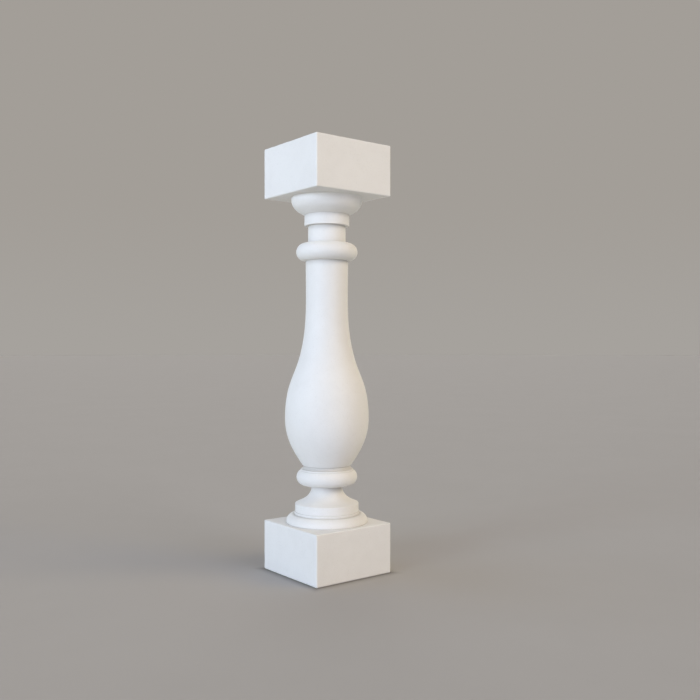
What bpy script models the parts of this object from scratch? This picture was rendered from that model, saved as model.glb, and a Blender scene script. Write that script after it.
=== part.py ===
"""Stone baluster: a vase-shaped turned shaft between a square plinth and a square abacus, all one block.

Metres, +Z up. The origin is the centre of the plinth's underside, and the block faces look along X and Y.
"""
import math
from collections import namedtuple

import bpy
from mathutils import Vector
from mathutils.geometry import interpolate_bezier

NAME = "baluster"

# Square blocks at the foot and the head
PLINTH_SIDE = 0.150
PLINTH_HEIGHT = 0.0817
ABACUS_SIDE = 0.150
ABACUS_HEIGHT = 0.0833
ARRIS_WIDTH = 0.0016
ARRIS_SEGMENTS = 2

# Base torus, a bold round that sinks slightly into the plinth
BASE_TORUS_HEIGHT = 0.0143
BASE_CROWN_HEIGHT = 0.0013
BASE_TORUS_MARGIN = 0.0078

# Drum with a low fillet at its foot, and the cavetto above it
DRUM_RADIUS = 0.0524
DRUM_HEIGHT = 0.0170
DRUM_FILLET_DEPTH = 0.0014
DRUM_FILLET_HEIGHT = 0.0040
CAVETTO_HEIGHT = 0.0300
CAVETTO_THROAT_RADIUS = 0.0248
CAVETTO_LIP_RISE_DEG = 24.0

# Lower torus, the thin fillet on it, and the small cove that the vase rises from
LOWER_TORUS_HEIGHT = 0.0260
LOWER_TORUS_RADIUS = 0.0502
FOOT_FILLET_HEIGHT = 0.0004
FOOT_FILLET_RADIUS = 0.0432
FOOT_COVE_HEIGHT = 0.0053
FOOT_COVE_RADIUS = 0.0386

# Vase, from its turned-in foot through the belly and the waist to the slimmest place and the top
VASE_FOOT_HEIGHT = 0.0011
VASE_FOOT_RADIUS = 0.0404
VASE_FOOT_FLARE_DEG = 56.4
BELLY_RISE = 0.0764
BELLY_RADIUS = 0.0692
WAIST_RISE = 0.1028
WAIST_RADIUS = 0.0449
WAIST_LEAN_DEG = 14.8
SLIM_RISE = 0.1012
SLIM_RADIUS = 0.0346
VASE_TOP_RISE = 0.0558
VASE_TOP_RADIUS = 0.0351

# Astragal, neck and fillet under the echinus
ASTRAGAL_HEIGHT = 0.0295
ASTRAGAL_RADIUS = 0.0507
NECK_HEIGHT = 0.0284
NECK_RADIUS = 0.0310
CAP_FILLET_HEIGHT = 0.0181
CAP_FILLET_RADIUS = 0.0370

# Echinus, the swelling round under the abacus
ECHINUS_HEIGHT = 0.0287
ECHINUS_MARGIN = 0.0159
ECHINUS_QUIRK = 0.0006
ECHINUS_FLARE_DEG = 26.5

# How far the turned body runs into each block, so that they fuse
BLOCK_OVERLAP = 0.012

# Fineness of the turned surface
TURN_STEPS = 52
ARC_STEP_DEG = 18.0
VASE_POINT_SPACING = 0.0145
SHARP_EDGE_DEG = 32.0
MERGE_DISTANCE = 0.00005

STONE_COLOUR = (0.79, 0.78, 0.75, 1.0)
STONE_ROUGHNESS = 0.72

# Heights of the joints between the mouldings, from the underside of the plinth
BASE_TORUS_Z = PLINTH_HEIGHT
DRUM_Z = BASE_TORUS_Z + BASE_TORUS_HEIGHT
CAVETTO_Z = DRUM_Z + DRUM_HEIGHT
LOWER_TORUS_Z = CAVETTO_Z + CAVETTO_HEIGHT
FOOT_FILLET_Z = LOWER_TORUS_Z + LOWER_TORUS_HEIGHT
FOOT_COVE_Z = FOOT_FILLET_Z + FOOT_FILLET_HEIGHT
VASE_FOOT_Z = FOOT_COVE_Z + FOOT_COVE_HEIGHT
VASE_Z = VASE_FOOT_Z + VASE_FOOT_HEIGHT
BELLY_Z = VASE_Z + BELLY_RISE
WAIST_Z = BELLY_Z + WAIST_RISE
SLIM_Z = WAIST_Z + SLIM_RISE
ASTRAGAL_Z = SLIM_Z + VASE_TOP_RISE
NECK_Z = ASTRAGAL_Z + ASTRAGAL_HEIGHT
CAP_FILLET_Z = NECK_Z + NECK_HEIGHT
ECHINUS_Z = CAP_FILLET_Z + CAP_FILLET_HEIGHT
ABACUS_Z = ECHINUS_Z + ECHINUS_HEIGHT

BASE_TORUS_RADIUS = PLINTH_SIDE / 2 - BASE_TORUS_MARGIN
ECHINUS_RADIUS = ABACUS_SIDE / 2 - ECHINUS_MARGIN

# A place on the vase's outline: its heading, and how far the curve is pulled along it on each side,
# as a share of the rise of that stretch
Station = namedtuple("Station", "radius z heading_deg pull_below pull_above")


def clear_scene():
    """Removes every object that is in the scene."""
    for item in list(bpy.data.objects):
        bpy.data.objects.remove(item, do_unlink=True)


def new_collection(name):
    """Returns a new collection that is linked to the scene."""
    collection = bpy.data.collections.new(name)
    bpy.context.scene.collection.children.link(collection)
    return collection


def stone_material():
    """Returns the pale dressed stone of the whole baluster."""
    material = bpy.data.materials.new("pale_stone")
    material.use_nodes = True
    shader = material.node_tree.nodes["Principled BSDF"]
    shader.inputs["Base Color"].default_value = STONE_COLOUR
    shader.inputs["Roughness"].default_value = STONE_ROUGHNESS
    shader.inputs["Metallic"].default_value = 0.0
    return material


def direction(angle_deg):
    """Returns the unit vector in the profile plane that rises at an angle from outwards."""
    angle = math.radians(angle_deg)
    return Vector((math.cos(angle), 0.0, math.sin(angle)))


def point(radius, z):
    """Returns a point of the profile, which lies in the XZ plane."""
    return Vector((radius, 0.0, z))


def arc(centre, radius, start_deg, end_deg):
    """Returns evenly spaced points of a round arc, both ends included."""
    count = max(2, math.ceil(abs(end_deg - start_deg) / ARC_STEP_DEG))
    turn = (end_deg - start_deg) / count
    return [centre + radius * direction(start_deg + turn * i) for i in range(count + 1)]


def sweep(start, start_deg, start_pull, end, end_deg, end_pull, count):
    """Returns points of a smooth curve between two places, each with its heading and its pull."""
    handle_a = start + start_pull * direction(start_deg)
    handle_b = end - end_pull * direction(end_deg)
    return list(interpolate_bezier(start, handle_a, handle_b, end, count + 1))


def contact_angle(centre_radius, round_radius, neighbour_radius):
    """Returns how far round a half round runs before it meets a neighbour of the given radius."""
    reach = (neighbour_radius - centre_radius) / round_radius
    return math.degrees(math.acos(min(max(reach, 0.0), 1.0)))


def half_round(z_low, height, crown_radius, below_radius, above_radius):
    """Returns the profile of a torus, from the member below it to the member above it."""
    radius = height / 2
    centre = point(crown_radius - radius, z_low + radius)
    low = -contact_angle(centre.x, radius, below_radius)
    high = contact_angle(centre.x, radius, above_radius)
    return arc(centre, radius, low, high)


def base_mouldings():
    """Returns the profile of the base torus, the drum and the cavetto, from the plinth up."""
    torus = BASE_TORUS_HEIGHT - BASE_CROWN_HEIGHT
    centre = point(BASE_TORUS_RADIUS - torus, BASE_TORUS_Z + BASE_CROWN_HEIGHT)
    sunk = -math.degrees(math.asin(BASE_CROWN_HEIGHT / torus))
    fillet_radius = DRUM_RADIUS + DRUM_FILLET_DEPTH
    fillet_z = DRUM_Z + DRUM_FILLET_HEIGHT
    profile = arc(centre, torus, sunk, contact_angle(centre.x, torus, fillet_radius))
    profile += [point(fillet_radius, DRUM_Z), point(fillet_radius, fillet_z), point(DRUM_RADIUS, fillet_z)]
    lip = point(DRUM_RADIUS, CAVETTO_Z)
    throat = point(CAVETTO_THROAT_RADIUS, LOWER_TORUS_Z)
    depth = DRUM_RADIUS - CAVETTO_THROAT_RADIUS
    profile += sweep(lip, 180 - CAVETTO_LIP_RISE_DEG, 0.40 * depth, throat, 90, 0.69 * CAVETTO_HEIGHT, 7)
    return profile


def vase_seat():
    """Returns the profile of the fillet on the lower torus and of the cove that the vase rises from."""
    edge = point(FOOT_FILLET_RADIUS, FOOT_COVE_Z)
    hollow = point(FOOT_COVE_RADIUS, VASE_FOOT_Z)
    depth = abs(FOOT_FILLET_RADIUS - FOOT_COVE_RADIUS)
    return sweep(edge, 180, 0.6 * depth, hollow, 90, 0.6 * FOOT_COVE_HEIGHT, 3)


def vase():
    """Returns the profile of the vase, from its foot up to the astragal."""
    stations = (
        Station(VASE_FOOT_RADIUS, VASE_Z, VASE_FOOT_FLARE_DEG, 0.0, 0.30),
        Station(BELLY_RADIUS, BELLY_Z, 90.0, 0.45, 0.54),
        Station(WAIST_RADIUS, WAIST_Z, 90.0 + WAIST_LEAN_DEG, 0.35, 0.31),
        Station(SLIM_RADIUS, SLIM_Z, 90.0, 0.44, 0.33),
        Station(VASE_TOP_RADIUS, ASTRAGAL_Z, 90.0, 0.33, 0.0),
    )
    profile = [point(stations[0].radius, stations[0].z)]
    for low, high in zip(stations, stations[1:]):
        rise = high.z - low.z
        count = max(3, round(rise / VASE_POINT_SPACING))
        stretch = sweep(point(low.radius, low.z), low.heading_deg, low.pull_above * rise,
                        point(high.radius, high.z), high.heading_deg, high.pull_below * rise, count)
        profile += stretch[1:]
    return profile


def echinus():
    """Returns the profile of the echinus, from the cap fillet up to the abacus."""
    foot = point(CAP_FILLET_RADIUS + ECHINUS_QUIRK, ECHINUS_Z)
    lip = point(ECHINUS_RADIUS, ABACUS_Z)
    return sweep(foot, ECHINUS_FLARE_DEG, 0.49 * ECHINUS_HEIGHT, lip, 90, 0.58 * ECHINUS_HEIGHT, 6)


def without_repeats(points):
    """Returns the points in order, each one clear of the one before it."""
    kept = points[:1]
    for candidate in points[1:]:
        if (candidate - kept[-1]).length > 2 * MERGE_DISTANCE:
            kept.append(candidate)
    return kept


def turned_profile():
    """Returns the whole turned profile from top to bottom, closed on the axis inside both blocks."""
    rising = [point(0.0, PLINTH_HEIGHT - BLOCK_OVERLAP)]
    base = base_mouldings()
    rising.append(point(base[0].x, PLINTH_HEIGHT - BLOCK_OVERLAP))
    rising += base
    rising += half_round(LOWER_TORUS_Z, LOWER_TORUS_HEIGHT, LOWER_TORUS_RADIUS,
                         CAVETTO_THROAT_RADIUS, FOOT_FILLET_RADIUS)
    rising += vase_seat()
    rising += vase()
    rising += half_round(ASTRAGAL_Z, ASTRAGAL_HEIGHT, ASTRAGAL_RADIUS, VASE_TOP_RADIUS, NECK_RADIUS)
    rising.append(point(NECK_RADIUS, NECK_Z))
    rising.append(point(NECK_RADIUS, CAP_FILLET_Z))
    rising.append(point(CAP_FILLET_RADIUS, CAP_FILLET_Z))
    rising.append(point(CAP_FILLET_RADIUS, ECHINUS_Z))
    rising += echinus()
    rising.append(point(ECHINUS_RADIUS, ABACUS_Z + BLOCK_OVERLAP))
    rising.append(point(0.0, ABACUS_Z + BLOCK_OVERLAP))
    return without_repeats(rising)[::-1]


def turned_body(collection):
    """Builds everything between the two blocks as one turned solid."""
    profile = turned_profile()
    mesh = bpy.data.meshes.new(NAME)
    mesh.from_pydata(profile, [(i, i + 1) for i in range(len(profile) - 1)], [])
    body = bpy.data.objects.new(NAME, mesh)
    collection.objects.link(body)
    screw = body.modifiers.new("turning", "SCREW")
    screw.axis = "Z"
    screw.angle = 2 * math.pi
    screw.steps = TURN_STEPS
    screw.render_steps = TURN_STEPS
    screw.use_merge_vertices = True
    screw.merge_threshold = MERGE_DISTANCE
    return body


def square_block(name, side, height, z_low, collection):
    """Builds a square block with lightly eased arrises, which the turned body is fused with."""
    bpy.ops.mesh.primitive_cube_add(size=1.0, location=(0.0, 0.0, z_low + height / 2))
    block = bpy.context.active_object
    block.name = name
    block.scale = (side, side, height)
    bpy.ops.object.transform_apply(location=False, rotation=False, scale=True)
    arris = block.modifiers.new("eased_arrises", "BEVEL")
    arris.width = ARRIS_WIDTH
    arris.segments = ARRIS_SEGMENTS
    for home in list(block.users_collection):
        home.objects.unlink(block)
    collection.objects.link(block)
    block.hide_render = True
    block.display_type = "WIRE"
    return block


def fuse(body, blocks):
    """Joins the blocks to the turned body and keeps the result as one plain mesh."""
    for block in blocks:
        union = body.modifiers.new("with_" + block.name, "BOOLEAN")
        union.operation = "UNION"
        union.solver = "EXACT"
        union.object = block
    depsgraph = bpy.context.evaluated_depsgraph_get()
    fused = bpy.data.meshes.new_from_object(body.evaluated_get(depsgraph))
    body.modifiers.clear()
    body.data = fused


def dress(body):
    """Gives the baluster its stone, smooth on the turned rounds and crisp at the arrises."""
    body.data.materials.clear()
    body.data.materials.append(stone_material())
    body.data.shade_smooth()
    body.data.set_sharp_from_angle(angle=math.radians(SHARP_EDGE_DEG))


def main():
    """Builds the baluster."""
    clear_scene()
    parts = new_collection("stone_baluster")
    cutters = new_collection("cutters")
    body = turned_body(parts)
    blocks = [
        square_block("plinth_block", PLINTH_SIDE, PLINTH_HEIGHT, 0.0, cutters),
        square_block("abacus_block", ABACUS_SIDE, ABACUS_HEIGHT, ABACUS_Z, cutters),
    ]
    fuse(body, blocks)
    dress(body)


main()
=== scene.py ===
"""Looks of the stone baluster: its fine surface, its pale stone, the studio light and the camera.

Everything is in metres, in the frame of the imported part: +Z up, with the plinth's underside at z = 0.
"""
from __future__ import annotations

import logging
import math
from dataclasses import dataclass, field
from enum import Enum
from typing import Callable, Sequence

import bpy
import numpy as np
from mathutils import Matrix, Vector, noise


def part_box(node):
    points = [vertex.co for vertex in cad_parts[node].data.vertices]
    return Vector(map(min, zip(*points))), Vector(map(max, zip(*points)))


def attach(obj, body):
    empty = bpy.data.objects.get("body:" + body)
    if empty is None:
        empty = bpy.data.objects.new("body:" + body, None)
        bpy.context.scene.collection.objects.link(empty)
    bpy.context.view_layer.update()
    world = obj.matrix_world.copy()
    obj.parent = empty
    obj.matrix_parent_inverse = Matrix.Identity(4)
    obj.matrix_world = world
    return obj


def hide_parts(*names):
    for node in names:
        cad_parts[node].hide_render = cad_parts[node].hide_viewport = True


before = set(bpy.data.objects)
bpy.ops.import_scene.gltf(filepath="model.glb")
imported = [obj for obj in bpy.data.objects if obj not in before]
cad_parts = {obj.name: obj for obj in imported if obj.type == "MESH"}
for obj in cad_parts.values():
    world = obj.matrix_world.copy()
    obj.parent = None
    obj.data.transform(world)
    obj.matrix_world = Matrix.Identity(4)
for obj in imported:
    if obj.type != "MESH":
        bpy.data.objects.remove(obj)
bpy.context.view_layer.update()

LOG = logging.getLogger("baluster")
NODE = "baluster"
BODY = "root"

ARC_STEP_DEG = 1.5
SWEEP_STEPS = 60

Outline = np.ndarray
Ring = np.ndarray


class Moulding(Enum):
    """Names of the turned mouldings, from the plinth up."""

    BASE_TORUS = "base torus"
    DRUM = "drum"
    CAVETTO = "cavetto"
    LOWER_TORUS = "lower torus"
    FOOT_FILLET = "foot fillet and cove"
    VASE = "vase"
    ASTRAGAL = "astragal"
    NECK = "neck"
    CAP_FILLET = "cap fillet"
    ECHINUS = "echinus"


def heading(angle_deg: float) -> np.ndarray:
    """Returns the unit direction in the profile plane at an angle above outwards."""
    angle = math.radians(angle_deg)
    return np.array([math.cos(angle), math.sin(angle)])


def arc(centre: tuple[float, float], radius: float, start_deg: float, end_deg: float) -> Outline:
    """Gives a round stretch of the profile.

    Args:
        centre: Radius and height of the arc's centre.
        radius: Radius of the arc itself.
        start_deg: Angle of its first point, above outwards.
        end_deg: Angle of its last point.

    Returns:
        Points a degree and a half apart or closer, as rows of radius and height.
    """
    steps = max(2, math.ceil(abs(end_deg - start_deg) / ARC_STEP_DEG))
    angles = np.radians(np.linspace(start_deg, end_deg, steps + 1))
    return np.stack([centre[0] + radius * np.cos(angles), centre[1] + radius * np.sin(angles)], axis=1)


def sweep(start: tuple[float, float], start_deg: float, start_pull: float,
          end: tuple[float, float], end_deg: float, end_pull: float) -> Outline:
    """Gives a smooth cubic stretch of the profile between two places.

    Args:
        start: Radius and height where it starts.
        start_deg: Its heading there.
        start_pull: How far the curve is pulled along that heading.
        end: Radius and height where it ends.
        end_deg: Its heading there.
        end_pull: How far the curve is pulled back along that heading.

    Returns:
        Evenly stepped points, as rows of radius and height.
    """
    t = np.linspace(0.0, 1.0, SWEEP_STEPS + 1)[:, None]
    a, d = np.array(start), np.array(end)
    b = a + start_pull * heading(start_deg)
    c = d - end_pull * heading(end_deg)
    return (1 - t) ** 3 * a + 3 * (1 - t) ** 2 * t * b + 3 * (1 - t) * t ** 2 * c + t ** 3 * d


def averaged(values: np.ndarray, window: int) -> np.ndarray:
    """Returns the running mean of evenly spaced values over an odd number of them."""
    padded = np.pad(values, window // 2, mode="edge")
    return np.convolve(padded, np.ones(window) / window, "valid")


def between(first: Ring, second: Ring, shares: Sequence[float]) -> list[Ring]:
    """Returns rings part of the way from one ring to another, on the level face that they share."""
    return [(1 - share) * first + share * second for share in shares]


def half_round(low: float, height: float, crown: float, below: float, above: float) -> Outline:
    """Gives a torus between the member below it and the member above it.

    Args:
        low: Height of its lowest point.
        height: Its height, twice the radius of its section.
        crown: Its largest radius.
        below: Radius of the member below.
        above: Radius of the member above.

    Returns:
        Rows of radius and height.
    """
    section = height / 2
    centre = (crown - section, low + section)

    def contact(neighbour: float) -> float:
        """Returns how far round the torus runs before it meets a neighbour."""
        reach = (neighbour - centre[0]) / section
        return math.degrees(math.acos(min(max(reach, 0.0), 1.0)))

    return arc(centre, section, -contact(below), contact(above))


@dataclass(frozen=True)
class SquareBlock:
    """A square block of the baluster, the plinth or the abacus.

    Attributes:
        side: Length of each side in plan.
        low: Height of its underside.
        high: Height of its top.
        low_arris: Radius of the eased arris round the underside.
        high_arris: Radius of the eased arris round the top.
        corner: Radius of the eased upright arrises.
        least_corner: Smallest radius that a ring's corners keep where it is set in.
        arris_steps: Steps of rings round a level arris.
        upright_count: Rings up an upright face.
        support: Distance from an arris to the first of those rings.
    """

    side: float
    low: float
    high: float
    low_arris: float
    high_arris: float
    corner: float = 0.0021
    least_corner: float = 0.0004
    arris_steps: int = 6
    upright_count: int = 22
    support: float = 0.0005

    def ring(self, inset: float, z: float, plan: "RingPlan") -> Ring:
        """Returns the block's rounded square outline, set in by an amount, at a height."""
        return plan.square(self.side / 2 - inset, max(self.corner - inset, self.least_corner), z)

    def low_rings(self, plan: "RingPlan") -> list[Ring]:
        """Returns the rings round the lower arris, from the underside to the upright face."""
        return self.arris_rings(self.low, self.low_arris, 1.0, plan)

    def high_rings(self, plan: "RingPlan") -> list[Ring]:
        """Returns the rings round the upper arris, from the upright face to the top."""
        return self.arris_rings(self.high, self.high_arris, -1.0, plan)[::-1]

    def arris_rings(self, z_face: float, arris: float, towards: float,
                    plan: "RingPlan") -> list[Ring]:
        """Gives the rings round one horizontal arris, from the level face to the upright face.

        Args:
            z_face: Height of the level face.
            arris: Radius of the arris.
            towards: 1 where the block lies above that face, and -1 where it lies below.
            plan: How a ring's points are spread.

        Returns:
            The rings, the first one on the level face.
        """
        rings = []
        for angle in np.radians(np.linspace(90.0, 0.0, self.arris_steps + 1)):
            inset = arris * (1 - math.cos(angle))
            drop = arris * (1 - math.sin(angle))
            rings.append(self.ring(inset, z_face + towards * drop, plan))
        return rings

    def upright_rings(self, plan: "RingPlan") -> list[Ring]:
        """Returns the rings up the block's upright faces, the outermost close to the arrises."""
        low = self.low + self.low_arris + self.support
        high = self.high - self.high_arris - self.support
        return [self.ring(0.0, z, plan) for z in np.linspace(low, high, self.upright_count)]


@dataclass(frozen=True)
class RingPlan:
    """How the points of one ring round the baluster are spread.

    Attributes:
        per_quarter: Steps in each quarter of a ring.
        per_corner: Steps of that quarter that go round a block's corner.
        support: Distance from the corner to the first point on the flat.
    """

    per_quarter: int = 50
    per_corner: int = 8
    support: float = 0.0006

    @property
    def count(self) -> int:
        """Number of points in a ring."""
        return 4 * self.per_quarter

    def circle(self, radius: float, z: float) -> Ring:
        """Returns a level circle of evenly spaced points, starting on +X."""
        angles = np.arange(self.count) * 2 * math.pi / self.count
        level = np.full(self.count, z)
        return np.stack([radius * np.cos(angles), radius * np.sin(angles), level], axis=1)

    def square(self, half: float, corner: float, z: float) -> Ring:
        """Gives a level square with rounded corners, starting in the middle of its +X side.

        Args:
            half: Half the square's side.
            corner: Radius of its corners.
            z: Its height.

        Returns:
            The ring's points in the same order as those of a circle.
        """
        flat_steps = (self.per_quarter - self.per_corner) // 2
        flat_end = half - corner
        flat = np.append(np.linspace(0.0, flat_end - self.support, flat_steps), flat_end)
        rise = np.stack([np.full(flat.size, half), flat], axis=1)
        angles = np.radians(np.linspace(0.0, 90.0, self.per_corner + 1))[1:-1]
        bend = flat_end + corner * np.stack([np.cos(angles), np.sin(angles)], axis=1)
        back = rise[::-1, ::-1]
        quarter = np.concatenate([rise, bend, back])[:-1]
        turns = [quarter]
        for _ in range(3):
            last = turns[-1]
            turns.append(np.stack([-last[:, 1], last[:, 0]], axis=1))
        plan = np.concatenate(turns)
        return np.column_stack([plan, np.full(len(plan), z)])


@dataclass(frozen=True)
class BaseMouldings:
    """Base torus, drum and cavetto, on top of the plinth.

    Attributes:
        low: Height where they start.
        torus_crown: Largest radius of the base torus.
        torus_height: Height of the base torus.
        crown_height: Height of its crown above the plinth.
        drum_radius: Radius of the drum.
        drum_height: Height of the drum.
        fillet_depth: How far the low fillet at the drum's foot stands out.
        fillet_height: Height of that fillet.
        cavetto_height: Height of the hollow above the drum.
        throat: Radius at the top of the hollow.
        lip_rise_deg: How steeply the hollow leaves the drum.
        lip_pull: Pull of its curve at the drum, as a share of its depth.
        throat_pull: Pull of its curve at the throat, as a share of its height.
    """

    low: float
    torus_crown: float = 0.0672
    torus_height: float = 0.0143
    crown_height: float = 0.0013
    drum_radius: float = 0.0524
    drum_height: float = 0.0170
    fillet_depth: float = 0.0014
    fillet_height: float = 0.0040
    cavetto_height: float = 0.0300
    throat: float = 0.0248
    lip_rise_deg: float = 24.0
    lip_pull: float = 0.40
    throat_pull: float = 0.69

    @property
    def high(self) -> float:
        """Height where they end."""
        return self.low + self.torus_height + self.drum_height + self.cavetto_height

    def strokes(self) -> dict[Moulding, Outline]:
        """Returns the profile of each moulding, from the plinth up."""
        section = self.torus_height - self.crown_height
        centre = (self.torus_crown - section, self.low + self.crown_height)
        sunk = -math.degrees(math.asin(self.crown_height / section))
        drum_low = self.low + self.torus_height
        drum_high = drum_low + self.drum_height
        depth = self.drum_radius - self.throat
        edge, fillet_high = self.drum_radius + self.fillet_depth, drum_low + self.fillet_height
        foot = np.array([[edge, drum_low], [edge, fillet_high], [self.drum_radius, fillet_high]])
        hollow = sweep((self.drum_radius, drum_high), 180.0 - self.lip_rise_deg, self.lip_pull * depth,
                       (self.throat, self.high), 90.0, self.throat_pull * self.cavetto_height)
        return {
            Moulding.BASE_TORUS: arc(centre, section, sunk, 90.0),
            Moulding.DRUM: foot,
            Moulding.CAVETTO: hollow,
        }


@dataclass(frozen=True)
class VaseShaft:
    """Lower torus, foot fillet and the vase above it.

    Attributes:
        low: Height where they start.
        throat: Radius of the hollow below.
        torus_crown: Largest radius of the lower torus.
        torus_height: Height of the lower torus.
        fillet_radius: Radius of the thin fillet on the torus.
        fillet_height: Height of that fillet.
        cove: Radius and height of the small cove above the fillet.
        vase_foot: Radius of the vase's foot, and the height over which it turns in below.
        flare_deg: How steeply the vase leaves its foot.
        belly: Radius of the belly and its rise above the foot.
        waist: Radius at the turn of the curve and its rise above the belly.
        waist_lean_deg: How far the outline leans inwards there.
        slim: Radius of the slimmest place and its rise above the waist.
        top: Radius at the top and its rise above the slimmest place.
        cove_pull: Pull of the cove's curve at both ends, as a share of its depth and its height.
        swell_pulls: Pulls of the curve from the foot to the belly, as shares of its rise.
        shoulder_pulls: The same from the belly to the waist.
        sleeve_pulls: The same from the waist to the slimmest place.
        top_pulls: The same from there to the top.
    """

    low: float
    throat: float
    torus_crown: float = 0.0502
    torus_height: float = 0.0260
    fillet_radius: float = 0.0432
    fillet_height: float = 0.0004
    cove: tuple[float, float] = (0.0386, 0.0053)
    vase_foot: tuple[float, float] = (0.0404, 0.0011)
    flare_deg: float = 56.4
    belly: tuple[float, float] = (0.0692, 0.0764)
    waist: tuple[float, float] = (0.0449, 0.1028)
    waist_lean_deg: float = 14.8
    slim: tuple[float, float] = (0.0346, 0.1012)
    top: tuple[float, float] = (0.0351, 0.0558)
    cove_pull: float = 0.6
    swell_pulls: tuple[float, float] = (0.30, 0.45)
    shoulder_pulls: tuple[float, float] = (0.54, 0.35)
    sleeve_pulls: tuple[float, float] = (0.31, 0.44)
    top_pulls: tuple[float, float] = (0.33, 0.33)

    @property
    def foot(self) -> float:
        """Height of the vase's foot."""
        return self.low + self.torus_height + self.fillet_height + self.cove[1] + self.vase_foot[1]

    @property
    def high(self) -> float:
        """Height of the vase's top."""
        return self.foot + self.belly[1] + self.waist[1] + self.slim[1] + self.top[1]

    def strokes(self) -> dict[Moulding, Outline]:
        """Returns the profile of each moulding, from the cavetto up."""
        z_belly = self.foot + self.belly[1]
        z_waist = z_belly + self.waist[1]
        z_slim = z_waist + self.slim[1]
        lean = 90.0 + self.waist_lean_deg
        marks = (
            (self.vase_foot[0], self.foot, self.flare_deg),
            (self.belly[0], z_belly, 90.0),
            (self.waist[0], z_waist, lean),
            (self.slim[0], z_slim, 90.0),
            (self.top[0], self.high, 90.0),
        )
        pulls = (self.swell_pulls, self.shoulder_pulls, self.sleeve_pulls, self.top_pulls)
        rises = (self.belly[1], self.waist[1], self.slim[1], self.top[1])
        pieces = []
        for start, end, pull, rise in zip(marks, marks[1:], pulls, rises):
            curve = sweep(start[:2], start[2], pull[0] * rise, end[:2], end[2], pull[1] * rise)
            pieces.append(curve[1:] if pieces else curve)
        torus = half_round(self.low, self.torus_height, self.torus_crown, self.throat, self.fillet_radius)
        hollow = (self.cove[0], self.foot - self.vase_foot[1])
        depth = self.fillet_radius - self.cove[0]
        cove = sweep((self.fillet_radius, hollow[1] - self.cove[1]), 180.0, self.cove_pull * depth,
                     hollow, 90.0, self.cove_pull * self.cove[1])
        return {
            Moulding.LOWER_TORUS: torus,
            Moulding.FOOT_FILLET: cove,
            Moulding.VASE: np.concatenate(pieces),
        }


@dataclass(frozen=True)
class Capital:
    """Astragal, neck, cap fillet and echinus, under the abacus.

    Attributes:
        low: Height where they start.
        vase_top: Radius of the vase's top.
        astragal_crown: Largest radius of the astragal.
        astragal_height: Height of the astragal.
        neck_radius: Radius of the neck.
        neck_height: Height of the neck.
        fillet_radius: Radius of the cap fillet.
        fillet_height: Height of the cap fillet.
        quirk: Width of the small step under the echinus.
        echinus_height: Height of the echinus.
        echinus_radius: Radius of the echinus at the abacus.
        echinus_flare_deg: How steeply the echinus leaves the fillet.
        echinus_pulls: Pulls of its curve at both ends, as shares of its height.
    """

    low: float
    vase_top: float
    astragal_crown: float = 0.0507
    astragal_height: float = 0.0295
    neck_radius: float = 0.0310
    neck_height: float = 0.0284
    fillet_radius: float = 0.0370
    fillet_height: float = 0.0181
    quirk: float = 0.0006
    echinus_height: float = 0.0287
    echinus_radius: float = 0.0591
    echinus_flare_deg: float = 26.5
    echinus_pulls: tuple[float, float] = (0.49, 0.58)

    @property
    def high(self) -> float:
        """Height of the abacus's underside."""
        neck_high = self.low + self.astragal_height + self.neck_height
        return neck_high + self.fillet_height + self.echinus_height

    def strokes(self) -> dict[Moulding, Outline]:
        """Returns the profile of each moulding, from the vase up."""
        neck_low = self.low + self.astragal_height
        neck_high = neck_low + self.neck_height
        cap_high = neck_high + self.fillet_height
        astragal = half_round(self.low, self.astragal_height, self.astragal_crown,
                              self.vase_top, self.neck_radius)
        neck = [[self.neck_radius, neck_low], [self.neck_radius, neck_high]]
        fillet = [[self.fillet_radius, neck_high], [self.fillet_radius, cap_high]]
        first_pull, last_pull = (share * self.echinus_height for share in self.echinus_pulls)
        echinus = sweep((self.fillet_radius + self.quirk, cap_high), self.echinus_flare_deg, first_pull,
                        (self.echinus_radius, self.high), 90.0, last_pull)
        return {
            Moulding.ASTRAGAL: astragal,
            Moulding.NECK: np.array(neck),
            Moulding.CAP_FILLET: np.array(fillet),
            Moulding.ECHINUS: echinus,
        }


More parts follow.
